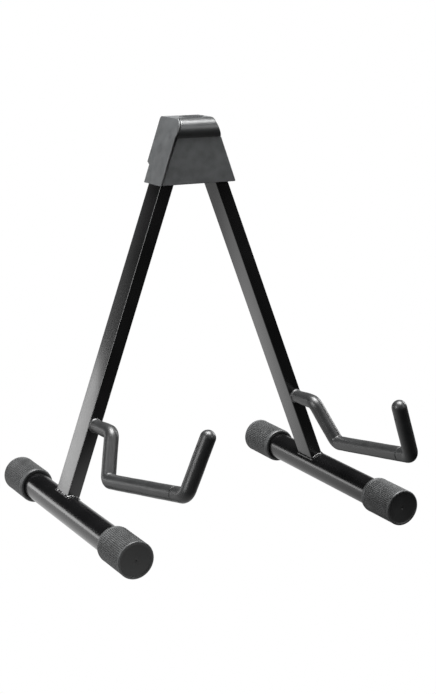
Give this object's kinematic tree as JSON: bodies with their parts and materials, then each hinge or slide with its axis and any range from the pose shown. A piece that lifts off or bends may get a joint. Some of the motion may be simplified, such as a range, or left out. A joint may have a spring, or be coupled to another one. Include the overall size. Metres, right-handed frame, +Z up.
{
  "type": "guitar stand",
  "caption": "Folding A-frame floor stand for a guitar: two hinged legs under a wedge head, round foot tubes with ribbed rubber caps, and padded cradle arms with upturned tips.",
  "frame": {"origin": "on the floor, at the middle of the open stand's outline", "axes": "+Z up, -Y to the front where the arms reach out, +X to the side of the right leg as seen from the front with left at -X"},
  "size_m": [0.363, 0.3808, 0.4383],
  "materials": {
    "head_plastic": "satin moulded",
    "pad_rubber": "smooth satin",
    "zinc_steel": "zinc plated",
    "nylon": "smooth",
    "black_powder_coat": "gloss black coating",
    "weld_powder_coat": "gloss black coating over a weld bead",
    "plug_plastic": "moulded",
    "bush_metal": "turned",
    "foot_rubber": "fine ribbed matte",
    "rod_steel": "drawn rod",
    "sleeve_rubber": "soft matte"
  },
  "bodies": {
    "head": {"head_housing": "head_plastic", "head_front_cover": "head_plastic", "head_bumper_pad": "pad_rubber", "head_rear_cover": "head_plastic", "head_rear_screws": "zinc_steel", "hinge_bolts": "zinc_steel", "hinge_nuts": "zinc_steel", "hinge_washers": "nylon"},
    "left_leg": {"left_leg_tube": "black_powder_coat", "left_leg_top_plug": "plug_plastic", "left_hinge_bush": "bush_metal", "left_foot_tube": "black_powder_coat", "left_foot_weld": "weld_powder_coat", "left_front_foot_cap": "foot_rubber", "left_rear_foot_cap": "foot_rubber", "left_arm_rod": "rod_steel", "left_arm_sleeve": "sleeve_rubber", "left_arm_end_sleeve": "sleeve_rubber"},
    "right_leg": {"right_leg_tube": "black_powder_coat", "right_leg_top_plug": "plug_plastic", "right_hinge_bush": "bush_metal", "right_foot_tube": "black_powder_coat", "right_foot_weld": "weld_powder_coat", "right_front_foot_cap": "foot_rubber", "right_rear_foot_cap": "foot_rubber", "right_arm_rod": "rod_steel", "right_arm_sleeve": "sleeve_rubber", "right_arm_end_sleeve": "sleeve_rubber"}
  },
  "joints": [
    {"name": "left_leg_fold", "type": "hinge", "parent": "head", "child": "left_leg", "pos_m": [-0.0118, 0.07116, 0.4246], "axis": [0, -1, 0], "range_deg": [0, 19.1]},
    {"name": "right_leg_fold", "type": "hinge", "parent": "head", "child": "right_leg", "pos_m": [0.0118, 0.07116, 0.4246], "axis": [0, 1, 0], "range_deg": [0, 19.1]}
  ]
}
